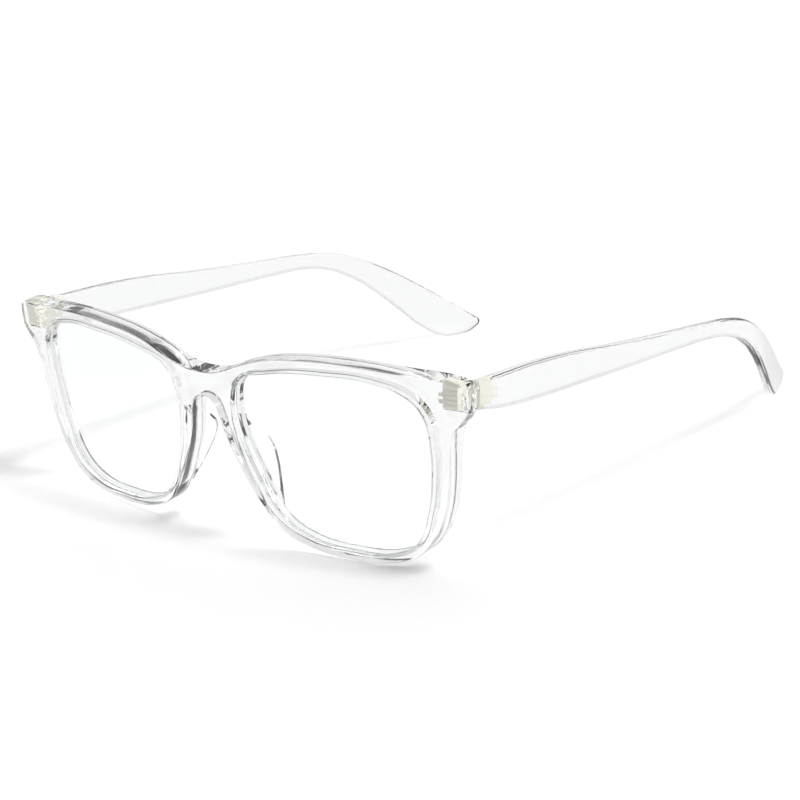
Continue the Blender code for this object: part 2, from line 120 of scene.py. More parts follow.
class NodeGroups:
    """Shader node groups that more than one finish uses, each built once."""

    made: dict[str, bpy.types.NodeTree] = {}
    grain_detail: float = 4.0
    grain_roughness: float = 0.6
    bend: float = 0.004
    scratch_turn: tuple[float, float, float] = (0.4, 0.3, 0.7)
    scratch_stretch: float = 14.0
    scratch_scale: float = 2.5
    scratch_width: float = 0.02

    @classmethod
    def handling(cls) -> bpy.types.NodeTree:
        """Return the group that gives the marks of handling and cleaning.

        Returns:
            A tree with inputs Scale, Scratches and Smudges, and outputs Roughness and Height.
        """
        if "handling" in cls.made:
            return cls.made["handling"]
        tree = bpy.data.node_groups.new("handling_marks", "ShaderNodeTree")
        face = tree.interface
        for name in ("Scale", "Scratches", "Smudges"):
            face.new_socket(name, in_out="INPUT", socket_type="NodeSocketFloat")
        for name in ("Roughness", "Height"):
            face.new_socket(name, in_out="OUTPUT", socket_type="NodeSocketFloat")
        nodes, links = tree.nodes, tree.links
        inner = nodes.new("NodeGroupInput")
        outer = nodes.new("NodeGroupOutput")
        place = nodes.new("ShaderNodeTexCoord")

        grain = nodes.new("ShaderNodeTexNoise")
        grain.inputs["Detail"].default_value = cls.grain_detail
        grain.inputs["Roughness"].default_value = cls.grain_roughness
        links.new(place.outputs["Object"], grain.inputs["Vector"])
        links.new(inner.outputs["Scale"], grain.inputs["Scale"])

        bent = nodes.new("ShaderNodeVectorMath")
        bent.operation = "MULTIPLY_ADD"
        bent.inputs[1].default_value = (cls.bend, cls.bend, cls.bend)
        links.new(grain.outputs["Color"], bent.inputs[0])
        links.new(place.outputs["Object"], bent.inputs[2])
        turned = nodes.new("ShaderNodeMapping")
        turned.inputs["Rotation"].default_value = cls.scratch_turn
        turned.inputs["Scale"].default_value = (1.0, cls.scratch_stretch, 1.0)
        links.new(bent.outputs["Vector"], turned.inputs["Vector"])
        hair = nodes.new("ShaderNodeTexVoronoi")
        hair.feature = "DISTANCE_TO_EDGE"
        spread = nodes.new("ShaderNodeMath")
        spread.operation = "MULTIPLY"
        spread.inputs[1].default_value = cls.scratch_scale
        links.new(inner.outputs["Scale"], spread.inputs[0])
        links.new(spread.outputs[0], hair.inputs["Scale"])
        links.new(turned.outputs["Vector"], hair.inputs["Vector"])
        line = nodes.new("ShaderNodeMapRange")
        line.inputs["From Min"].default_value = 0.0
        line.inputs["From Max"].default_value = cls.scratch_width
        line.inputs["To Min"].default_value = 1.0
        line.inputs["To Max"].default_value = 0.0
        links.new(hair.outputs["Distance"], line.inputs["Value"])

        fine = nodes.new("ShaderNodeMath")
        fine.operation = "MULTIPLY"
        links.new(line.outputs["Result"], fine.inputs[0])
        links.new(inner.outputs["Scratches"], fine.inputs[1])
        broad = nodes.new("ShaderNodeMath")
        broad.operation = "MULTIPLY_ADD"
        links.new(grain.outputs["Fac"], broad.inputs[0])
        links.new(inner.outputs["Smudges"], broad.inputs[1])
        links.new(fine.outputs[0], broad.inputs[2])
        links.new(broad.outputs[0], outer.inputs["Roughness"])
        height = nodes.new("ShaderNodeMath")
        height.operation = "SUBTRACT"
        links.new(grain.outputs["Fac"], height.inputs[0])
        links.new(fine.outputs[0], height.inputs[1])
        links.new(height.outputs[0], outer.inputs["Height"])
        cls.made["handling"] = tree
        return tree


@dataclass(frozen=True)
class Finish:
    """A finish with handling marks, shared by every material here."""

    name: str
    colour: Colour
    roughness: float
    scratches: float
    smudges: float
    mark_scale: float
    bump: float
    bump_depth: float

    def _start(self) -> tuple[bpy.types.Material, bpy.types.Node]:
        """Make the material with its marks wired to roughness and bump.

        Returns:
            The material and its Principled shader.
        """
        material = bpy.data.materials.new(self.name)
        material.use_nodes = True
        nodes, links = material.node_tree.nodes, material.node_tree.links
        shader = nodes["Principled BSDF"]
        shader.inputs["Base Color"].default_value = (*self.colour, 1.0)
        marks = nodes.new("ShaderNodeGroup")
        marks.node_tree = NodeGroups.handling()
        marks.inputs["Scale"].default_value = self.mark_scale
        marks.inputs["Scratches"].default_value = self.scratches
        marks.inputs["Smudges"].default_value = self.smudges
        rough = nodes.new("ShaderNodeMath")
        rough.operation = "ADD"
        rough.use_clamp = True
        rough.inputs[1].default_value = self.roughness
        links.new(marks.outputs["Roughness"], rough.inputs[0])
        links.new(rough.outputs[0], shader.inputs["Roughness"])
        bump = nodes.new("ShaderNodeBump")
        bump.inputs["Strength"].default_value = self.bump
        bump.inputs["Distance"].default_value = self.bump_depth
        links.new(marks.outputs["Height"], bump.inputs["Height"])
        links.new(bump.outputs["Normal"], shader.inputs["Normal"])
        material.diffuse_color = (*self.colour, 1.0)
        return material, shader


@dataclass(frozen=True)
class ClearFinish(Finish):
    """See-through plastic or lens material, with painted shade darkening its edges where they are seen at a
    grazing angle.
    """

    # Painted shade: a dark grey mixed into the colour along edges seen at a grazing angle, drawing dark
    # outlines.
    rim: Colour = (0.08, 0.085, 0.09)
    painted_edge_shade_share: float = 0.92
    painted_edge_shade_start: float = 0.64
    bend: float = 1.5
    shade: float = 0.8
    film: float = 0.0
    film_bend: float = 1.38

    def make(self) -> bpy.types.Material:
        """Make the material; light reaches the floor through it, dimmed by its shade.

        Returns:
            The material.
        """
        material, shader = self._start()
        nodes, links = material.node_tree.nodes, material.node_tree.links
        shader.inputs["Transmission Weight"].default_value = 1.0
        shader.inputs["Metallic"].default_value = 0.0
        shader.inputs["IOR"].default_value = self.bend
        shader.inputs["Thin Film Thickness"].default_value = self.film
        shader.inputs["Thin Film IOR"].default_value = self.film_bend
        # Painted shade: the facing mask blends the colour towards the dark edge grey, so edges seen edge-on
        # look dark.
        facing = nodes.new("ShaderNodeLayerWeight")
        slope = nodes.new("ShaderNodeMapRange")
        slope.interpolation_type = "SMOOTHSTEP"
        slope.inputs["From Min"].default_value = self.painted_edge_shade_start
        slope.inputs["To Max"].default_value = self.painted_edge_shade_share
        links.new(facing.outputs["Facing"], slope.inputs["Value"])
        colour_with_painted_edge_shade = nodes.new("ShaderNodeMix")
        colour_with_painted_edge_shade.data_type = "RGBA"
        colour_with_painted_edge_shade.inputs[6].default_value = (*self.colour, 1.0)
        colour_with_painted_edge_shade.inputs[7].default_value = (*self.rim, 1.0)
        links.new(slope.outputs["Result"], colour_with_painted_edge_shade.inputs["Factor"])
        links.new(colour_with_painted_edge_shade.outputs[2], shader.inputs["Base Color"])
        path = nodes.new("ShaderNodeLightPath")
        through = nodes.new("ShaderNodeBsdfTransparent")
        through.inputs["Color"].default_value = (self.shade, self.shade, self.shade, 1.0)
        either = nodes.new("ShaderNodeMixShader")
        links.new(path.outputs["Is Shadow Ray"], either.inputs["Fac"])
        links.new(shader.outputs["BSDF"], either.inputs[1])
        links.new(through.outputs["BSDF"], either.inputs[2])
        links.new(either.outputs["Shader"], nodes["Material Output"].inputs["Surface"])
        return material


@dataclass(frozen=True)
class MetalFinish(Finish):
    """Metal whose colour is darker in its grain."""

    dark: Colour = (0.5, 0.48, 0.42)
    metallic: float = 1.0
    grain_stretch: float = 7.0
    grain_scale: float = 900.0
    grain_detail: float = 5.0
    grain_low: float = 0.35
    grain_high: float = 0.62
    grain_share: float = 0.35

    def make(self) -> bpy.types.Material:
        """Make the material.

        Returns:
            The material.
        """
        material, shader = self._start()
        nodes, links = material.node_tree.nodes, material.node_tree.links
        shader.inputs["Metallic"].default_value = self.metallic
        place = nodes.new("ShaderNodeTexCoord")
        stretch = nodes.new("ShaderNodeMapping")
        stretch.inputs["Scale"].default_value = (1.0, 1.0, self.grain_stretch)
        grain = nodes.new("ShaderNodeTexNoise")
        grain.inputs["Scale"].default_value = self.grain_scale
        grain.inputs["Detail"].default_value = self.grain_detail
        blend = nodes.new("ShaderNodeMix")
        blend.data_type = "RGBA"
        ramp = nodes.new("ShaderNodeMapRange")
        ramp.inputs["From Min"].default_value = self.grain_low
        ramp.inputs["From Max"].default_value = self.grain_high
        ramp.inputs["To Max"].default_value = self.grain_share
        blend.inputs[6].default_value = (*self.colour, 1.0)
        blend.inputs[7].default_value = (*self.dark, 1.0)
        links.new(place.outputs["Object"], stretch.inputs["Vector"])
        links.new(stretch.outputs["Vector"], grain.inputs["Vector"])
        links.new(grain.outputs["Fac"], ramp.inputs["Value"])
        links.new(ramp.outputs["Result"], blend.inputs["Factor"])
        links.new(blend.outputs[2], shader.inputs["Base Color"])
        return material


class Finishes:
    """The finishes of the glasses, one material for each record slot."""

    recipes: dict[str, Finish] = {
        "clear_plastic": ClearFinish(
            name="moulded_clear_plastic",
            colour=(0.905, 0.91, 0.915),
            roughness=0.0,
            scratches=0.01,
            smudges=0.012,
            mark_scale=40.0,
            bump=0.05,
            bump_depth=0.00005,
            bend=1.49,
            shade=0.7,
        ),
        "coated_lens": ClearFinish(
            name="blue_filter_lens",
            colour=(0.95, 0.957, 0.963),
            roughness=0.0,
            scratches=0.004,
            smudges=0.008,
            mark_scale=30.0,
            bump=0.0,
            bump_depth=0.00001,
            bend=1.5,
            shade=0.97,
            film=90.0,
        ),
        "pad_plastic": ClearFinish(
            name="nose_pad_plastic",
            colour=(0.98, 0.985, 0.99),
            roughness=0.02,
            scratches=0.02,
            smudges=0.04,
            mark_scale=70.0,
            bump=0.06,
            bump_depth=0.00005,
            bend=1.46,
            shade=0.85,
        ),
        "nickel_silver": MetalFinish(
            name="satin_nickel_silver",
            colour=(0.98, 0.965, 0.87),
            roughness=0.3,
            scratches=0.1,
            smudges=0.1,
            mark_scale=220.0,
            bump=0.12,
            bump_depth=0.00005,
            dark=(0.78, 0.75, 0.62),
            metallic=0.1,
        ),
        "screw_steel": MetalFinish(
            name="turned_screw_steel",
            colour=(0.7, 0.69, 0.66),
            roughness=0.18,
            scratches=0.12,
            smudges=0.08,
            mark_scale=260.0,
            bump=0.15,
            bump_depth=0.00004,
            dark=(0.4, 0.39, 0.37),
        ),
    }
    made: dict[str, bpy.types.Material] = {}

    @classmethod
    def get(cls, slot: str) -> bpy.types.Material:
        """Return the material of a record slot, made on first use.

        Args:
            slot: The slot's name in the record.

        Returns:
            The material.
        """
        if slot not in cls.made:
            cls.made[slot] = cls.recipes[slot].make()
        return cls.made[slot]


# --- Mesh tools -----------------------------------------------------------------------------------


def baked(thing: bpy.types.Object) -> bpy.types.Mesh:
    """Turn an object's evaluated shape into a plain mesh and remove the object.

    Args:
        thing: The object, with any modifiers.

    Returns:
        The new mesh.
    """
    bpy.context.view_layer.update()
    graph = bpy.context.evaluated_depsgraph_get()
    mesh = bpy.data.meshes.new_from_object(thing.evaluated_get(graph))
    bpy.data.objects.remove(thing, do_unlink=True)
    return mesh


def loose_object(name: str, data: bpy.types.ID) -> bpy.types.Object:
    """Put some data in the scene.

    Args:
        name: The object's name.
        data: Its mesh, curve, lamp or camera.

    Returns:
        The object.
    """
    thing = bpy.data.objects.new(name, data)
    bpy.context.scene.collection.objects.link(thing)
    return thing


def plate(
    outlines: list[Outline], depth: float, round_edge: float, grow: float, steps: int
) -> bpy.types.Mesh:
    """Cut a plate to closed outlines.

    Args:
        outlines: Closed outlines in millimetres, (across, up, is a corner) for each point.
        depth: The plate's thickness.
        round_edge: The radius of its rounded edges.
        grow: How far it reaches past the outlines.
        steps: Straight steps from one outline point to the next.

    Returns:
        A closed mesh with x across, z up and y from 0 to the depth.
    """
    curve = bpy.data.curves.new("plate", "CURVE")
    curve.dimensions = "2D"
    curve.fill_mode = "BOTH"
    curve.extrude = depth / 2.0 - round_edge
    curve.bevel_depth = round_edge
    curve.bevel_resolution = OUTLINE_EDGE_STEPS
    curve.offset = grow - round_edge
    for points in outlines:
        spline = curve.splines.new("BEZIER")
        spline.bezier_points.add(len(points) - 1)
        spline.use_cyclic_u = True
        spline.resolution_u = steps
        for knot, (across, up, is_corner) in zip(spline.bezier_points, points):
            knot.co = (across * MM, up * MM, 0.0)
            kind = "VECTOR" if is_corner else "AUTO"
            knot.handle_left_type = kind
            knot.handle_right_type = kind
    mesh = baked(loose_object("plate", curve))
    bpy.data.curves.remove(curve)
    upright = Matrix.Rotation(math.pi / 2.0, 4, "X")
    mesh.transform(Matrix.Translation((0.0, depth / 2.0, 0.0)) @ upright)
    work = bmesh.new()
    work.from_mesh(mesh)
    bmesh.ops.remove_doubles(work, verts=work.verts, dist=OUTLINE_MERGE_DISTANCE)
    bmesh.ops.recalc_face_normals(work, faces=work.faces)
    work.to_mesh(mesh)
    work.free()
    return mesh


def sliced(mesh: bpy.types.Mesh, axis: int, start: float, stop: float, step: float) -> None:
    """Add edges across one axis so that the mesh can bend there.

    Args:
        mesh: The mesh to cut.
        axis: 0, 1 or 2 for x, y or z.
        start: The first plane.
        stop: Where the planes end.
        step: The distance between planes.
    """
    normal = Vector((0.0, 0.0, 0.0))
    normal[axis] = 1.0
    work = bmesh.new()
    work.from_mesh(mesh)
    bmesh.ops.dissolve_limit(work, angle_limit=FLAT_ANGLE, verts=work.verts, edges=work.edges)
    count = max(1, math.ceil((stop - start) / step - 0.001))
    for number in range(count):
        everything = work.verts[:] + work.edges[:] + work.faces[:]
        place = normal * (start + number * step)
        bmesh.ops.bisect_plane(work, geom=everything, dist=CUT_TOLERANCE, plane_co=place, plane_no=normal)
    bmesh.ops.triangulate(work, faces=work.faces)
    work.to_mesh(mesh)
    work.free()


def moved(mesh: bpy.types.Mesh, rule: Callable[[Vector], Vector]) -> None:
    """Move every point of a mesh to where a rule puts it.

    Args:
        mesh: The mesh.
        rule: Gives a point's new place from its old one.
    """
    for point in mesh.vertices:
        point.co = rule(point.co)
    mesh.update()


def rounded(work: bmesh.types.BMesh, edges: list[bmesh.types.BMEdge], radius: float) -> None:
    """Round some edges of a shape.

    Args:
        work: The shape.
        edges: The edges to round.
        radius: The radius of the rounding.
    """
    bmesh.ops.bevel(
        work,
        geom=edges,
        offset=radius,
        offset_type="OFFSET",
        segments=EDGE_STEPS,
        profile=0.5,
        affect="EDGES",
    )


def block(plan: Plan, bottom: float, top: float, round_edge: float = 0.0) -> bpy.types.Mesh:
    """Make an upright box.

    Args:
        plan: (low x, low y, high x, high y).
        bottom: Its lower level.
        top: Its upper level.
        round_edge: The radius of its rounded edges.

    Returns:
        The mesh.
    """
    low = (plan[0], plan[1], bottom)
    high = (plan[2], plan[3], top)
    work = bmesh.new()
    bmesh.ops.create_cube(work, size=1.0)
    for vert in work.verts:
        for axis in range(3):
            vert.co[axis] = (low[axis] + high[axis]) / 2.0 + vert.co[axis] * (high[axis] - low[axis])
    if round_edge > 0.0:
        rounded(work, work.edges[:], round_edge)
    mesh = bpy.data.meshes.new("block")
    work.to_mesh(mesh)
    work.free()
    return mesh


def rod(radius: float, bottom: float, top: float, round_edge: float = 0.0) -> bpy.types.Mesh:
    """Make an upright round bar on the z axis.

    Args:
        radius: Its radius.
        bottom: Its lower level.
        top: Its upper level.
        round_edge: The radius of its rounded rims.

    Returns:
        The mesh.
    """
    work = bmesh.new()
    bmesh.ops.create_cone(
        work, cap_ends=True, segments=ROUND_STEPS, radius1=radius, radius2=radius, depth=top - bottom
    )
    bmesh.ops.translate(work, verts=work.verts, vec=(0.0, 0.0, (bottom + top) / 2.0))
    if round_edge > 0.0:
        rims = [edge for edge in work.edges if any(len(face.verts) > 4 for face in edge.link_faces)]
        rounded(work, rims, round_edge)
    mesh = bpy.data.meshes.new("rod")
    work.to_mesh(mesh)
    work.free()
    return mesh


def worked(base: bpy.types.Mesh, steps: list[tuple[bpy.types.Mesh, Cut]]) -> bpy.types.Mesh:
    """Join and cut a closed mesh with others, in order.

    Args:
        base: The mesh to start from.
        steps: Each tool mesh and what it does.

    Returns:
        The new mesh.
    """
    target = loose_object("work", base)
    tools = []
    for shape, cut in steps:
        tool = loose_object("tool", shape)
        tools.append(tool)
        modifier = target.modifiers.new("work", "BOOLEAN")
        modifier.operation = cut.value
        modifier.solver = "EXACT"
        modifier.object = tool
    mesh = baked(target)
    for tool in tools:
        bpy.data.objects.remove(tool, do_unlink=True)
    return mesh


def other_side(mesh: bpy.types.Mesh) -> bpy.types.Mesh:
    """Reflect a mesh for the other side, with its faces still pointing out.

    Args:
        mesh: The mesh, which stays as it is.

    Returns:
        The reflected copy.
    """
    copy = mesh.copy()
    copy.transform(Matrix.Scale(-1.0, 4, (1.0, 0.0, 0.0)))
    copy.flip_normals()
    return copy


def finished(
    name: str, mesh: bpy.types.Mesh, slot: str, body: Body, node: str, sharp: float = SHARP_DEGREES
) -> None:
    """Shade a piece's mesh, dress it and hang it on its body.

    Args:
        name: The piece's name.
        mesh: Its mesh, already in place.
        slot: The record's material slot.
        body: The body it rides on.
        node: The CAD node it stands for.
        sharp: Edges steeper than this angle in degrees stay sharp.
    """
    work = bmesh.new()
    work.from_mesh(mesh)
    bmesh.ops.remove_doubles(work, verts=work.verts, dist=MERGE_DISTANCE)
    work.to_mesh(mesh)
    work.free()
    mesh.shade_smooth()
    mesh.set_sharp_from_angle(angle=math.radians(sharp))
    mesh.materials.clear()
    mesh.materials.append(Finishes.get(slot))
    thing = loose_object(name, mesh)
    steady = thing.modifiers.new("steady", "WEIGHTED_NORMAL")
    steady.keep_sharp = True
    steady.weight = FACE_AREA_WEIGHT
    plain = loose_object(name, baked(thing))
    plain.name = name
    plain.data.name = name
    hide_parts(node)
    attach(plain, body.value)
    triangles = sum(len(polygon.vertices) - 2 for polygon in plain.data.polygons)
    LOG.info("%s: %d triangles, rides on %s", name, triangles, body.value)


# --- Sub-assemblies -------------------------------------------------------------------------------


@dataclass
class Layout:
    """Where the front, the joints and the temples stand in the glasses."""

    datum: Vector = field(default_factory=lambda: Vector((0.0, -4.8 * MM, -0.2 * MM)))
    pivot: Vector = field(default_factory=lambda: Vector((64.6 * MM, 5.0 * MM, 41.2 * MM)))
    tilt: float = math.radians(5.3)
    slope: float = math.radians(6.0)
    wrap_radius: float = 260.0 * MM

    def shift(self) -> Vector:
        """Find the move from the drawing's frame to the model's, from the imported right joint.

        Returns:
            The move.
        """
        for joint in frame["record"]["behaviour"]["joints"]:
            if joint["child"] == Body.TEMPLE_RIGHT.value:
                return Vector(joint["pos_m"]) - self.pivot
        raise ValueError("the record has no right temple joint")

    def front_frame(self) -> Matrix:
        """Return the matrix that stands the front up and leans its top forward."""
        return Matrix.Translation(self.shift() + self.datum) @ Matrix.Rotation(self.tilt, 4, "X")

    def hinge_frame(self, side: Side) -> Matrix:
        """Find where one hinge stands.

        Args:
            side: The hinge's side.

        Returns:
            Its matrix: z is its axis and y runs along the temple.
        """
        place = self.shift() + Vector((side.value * self.pivot.x, self.pivot.y, self.pivot.z))
        return Matrix.Translation(place) @ Matrix.Rotation(-self.slope, 4, "X")

    def wrapped(self, place: Vector) -> Vector:
        """Bend a point of the flat front round the face.

        Args:
            place: The point before the bend.

        Returns:
            The point after it.
        """
        return Vector((place.x, place.y + place.x**2 / (2.0 * self.wrap_radius), place.z))


@dataclass
class HingeSizes:
    """Sizes of the five-knuckle hinges, in each hinge's own frame."""

    knuckle_radius: float = 1.45 * MM
    knuckle_count: int = 5
    knuckle_height: float = 0.88 * MM
    knuckle_gap: float = 0.2 * MM
    bore: float = 0.7 * MM
    screw_radius: float = 0.6 * MM
    head_radius: float = 1.1 * MM
    head_height: float = 0.5 * MM
    head_gap: float = 0.1 * MM
    slot_width: float = 0.32 * MM
    edge: float = 0.1 * MM
    prong_size: float = 0.9 * MM
    prong_spacing: float = 1.6 * MM
    prong_drop: float = 0.3 * MM
    front_prong: float = 1.3 * MM
    temple_prong: float = 2.4 * MM
    prong_root: float = 0.3 * MM
    front_leaf: Plan = (-1.2 * MM, -3.5 * MM, 2.7 * MM, -1.75 * MM)
    front_arm: Plan = (-1.4 * MM, -2.0 * MM, 1.4 * MM, 0.0)
    temple_leaf: Plan = (1.2 * MM, 2.2 * MM, 2.9 * MM, 6.1 * MM)
    temple_arm: Plan = (0.0, 0.0, 1.4 * MM, 2.5 * MM)
    front_room: Plan = (-1.8 * MM, -1.8 * MM, 2.95 * MM, 4.0 * MM)
    screw_room: Plan = (-1.4 * MM, -1.4 * MM, 1.4 * MM, 4.0 * MM)
    temple_room: Plan = (-3.0 * MM, -4.0 * MM, 2.0 * MM, 2.0 * MM)
    groove_depth: float = 0.35 * MM
    room_gap: float = 0.3 * MM
    room_top: float = 6.0 * MM

    @property
    def half_stack(self) -> float:
        """Half the height of the whole knuckle stack."""
        knuckles = self.knuckle_count * self.knuckle_height
        return (knuckles + (self.knuckle_count - 1) * self.knuckle_gap) / 2.0

    def level(self, number: int) -> float:
        """Find the middle height of one knuckle.

        Args:
            number: The knuckle, counted from the lowest.

        Returns:
            Its height.
        """
        pitch = self.knuckle_height + self.knuckle_gap
        return (number - (self.knuckle_count - 1) / 2.0) * pitch

    def prong_levels(self) -> list[tuple[float, float]]:
        """Find where a leaf's two prongs lie.

        Returns:
            The bottom and top of each.
        """
        spans = []
        for offset in (-self.prong_spacing / 2.0, self.prong_spacing / 2.0):
            middle = offset - self.prong_drop
            spans.append((middle - self.prong_size / 2.0, middle + self.prong_size / 2.0))
        return spans


@dataclass
class KnuckleTree:
    """Geometry nodes that stack equal rounded knuckles on a hinge's axis."""

    sizes: HingeSizes
    wall_share: float = 0.8
    edge_points: int = 3

    def build(self) -> bpy.types.NodeTree:
        """Build the tree.

        Returns:
            A geometry tree with inputs Count, First, Pitch, Radius, Height, Round and Material.
        """
        tree = bpy.data.node_groups.new("knuckle_stack", "GeometryNodeTree")
        face = tree.interface
        face.new_socket("Geometry", in_out="INPUT", socket_type="NodeSocketGeometry")
        face.new_socket("Count", in_out="INPUT", socket_type="NodeSocketInt")
        for name in ("First", "Pitch", "Radius", "Height", "Round"):
            face.new_socket(name, in_out="INPUT", socket_type="NodeSocketFloat")
        face.new_socket("Material", in_out="INPUT", socket_type="NodeSocketMaterial")
        face.new_socket("Geometry", in_out="OUTPUT", socket_type="NodeSocketGeometry")
        nodes, links = tree.nodes, tree.links
        inner = nodes.new("NodeGroupInput")
        outer = nodes.new("NodeGroupOutput")

        wall = nodes.new("ShaderNodeMath")
        wall.operation = "MULTIPLY"
        wall.inputs[1].default_value = self.wall_share
        links.new(inner.outputs["Radius"], wall.inputs[0])
        middle = nodes.new("ShaderNodeMath")
        middle.operation = "MULTIPLY_ADD"
        middle.inputs[1].default_value = -0.5
        links.new(wall.outputs[0], middle.inputs[0])
        links.new(inner.outputs["Radius"], middle.inputs[2])
        ring = nodes.new("GeometryNodeCurvePrimitiveCircle")
        ring.inputs["Resolution"].default_value = ROUND_STEPS
        links.new(middle.outputs[0], ring.inputs["Radius"])
        section = nodes.new("GeometryNodeCurvePrimitiveQuadrilateral")
        links.new(wall.outputs[0], section.inputs["Width"])
        links.new(inner.outputs["Height"], section.inputs["Height"])
        soften = nodes.new("GeometryNodeFilletCurve")
        soften.mode = "POLY"
        soften.inputs["Count"].default_value = self.edge_points
        links.new(section.outputs["Curve"], soften.inputs["Curve"])
        links.new(inner.outputs["Round"], soften.inputs["Radius"])
        knuckle = nodes.new("GeometryNodeCurveToMesh")
        links.new(ring.outputs["Curve"], knuckle.inputs["Curve"])
        links.new(soften.outputs["Curve"], knuckle.inputs["Profile Curve"])

        start = nodes.new("ShaderNodeCombineXYZ")
        links.new(inner.outputs["First"], start.inputs["Z"])
        stride = nodes.new("ShaderNodeCombineXYZ")
        links.new(inner.outputs["Pitch"], stride.inputs["Z"])
        stack = nodes.new("GeometryNodeMeshLine")
        links.new(inner.outputs["Count"], stack.inputs["Count"])
        links.new(start.outputs["Vector"], stack.inputs["Start Location"])
        links.new(stride.outputs["Vector"], stack.inputs["Offset"])
        copies = nodes.new("GeometryNodeInstanceOnPoints")
        links.new(stack.outputs["Mesh"], copies.inputs["Points"])
        links.new(knuckle.outputs["Mesh"], copies.inputs["Instance"])
        real = nodes.new("GeometryNodeRealizeInstances")
        links.new(copies.outputs["Instances"], real.inputs["Geometry"])
        dressed = nodes.new("GeometryNodeSetMaterial")
        links.new(real.outputs["Geometry"], dressed.inputs["Geometry"])
        links.new(inner.outputs["Material"], dressed.inputs["Material"])
        links.new(dressed.outputs["Geometry"], outer.inputs["Geometry"])
        return tree

    def stack(self, tree: bpy.types.NodeTree, first: int, material: bpy.types.Material) -> bpy.types.Mesh:
        """Bake one leaf's knuckles.

        Args:
            tree: The tree from build.
            first: The lowest knuckle of this leaf; it holds every second one.
            material: The knuckles' material.

        Returns:
            The knuckles as a plain mesh with faces pointing out.
        """
        sizes = self.sizes
        carrier = loose_object("knuckles", bpy.data.meshes.new("knuckles"))
        modifier = carrier.modifiers.new("knuckles", "NODES")
        modifier.node_group = tree
        values = {
            "Count": len(range(first, sizes.knuckle_count, 2)),
            "First": sizes.level(first),
            "Pitch": 2.0 * (sizes.knuckle_height + sizes.knuckle_gap),
            "Radius": sizes.knuckle_radius,
            "Height": sizes.knuckle_height,
            "Round": sizes.edge,
            "Material": material,
        }
        for item in tree.interface.items_tree:
            if item.item_type == "SOCKET" and item.in_out == "INPUT" and item.name in values:
                modifier[item.identifier] = values[item.name]
        mesh = baked(carrier)
        work = bmesh.new()
        work.from_mesh(mesh)
        bmesh.ops.recalc_face_normals(work, faces=work.faces)
        work.to_mesh(mesh)
        work.free()
        return mesh


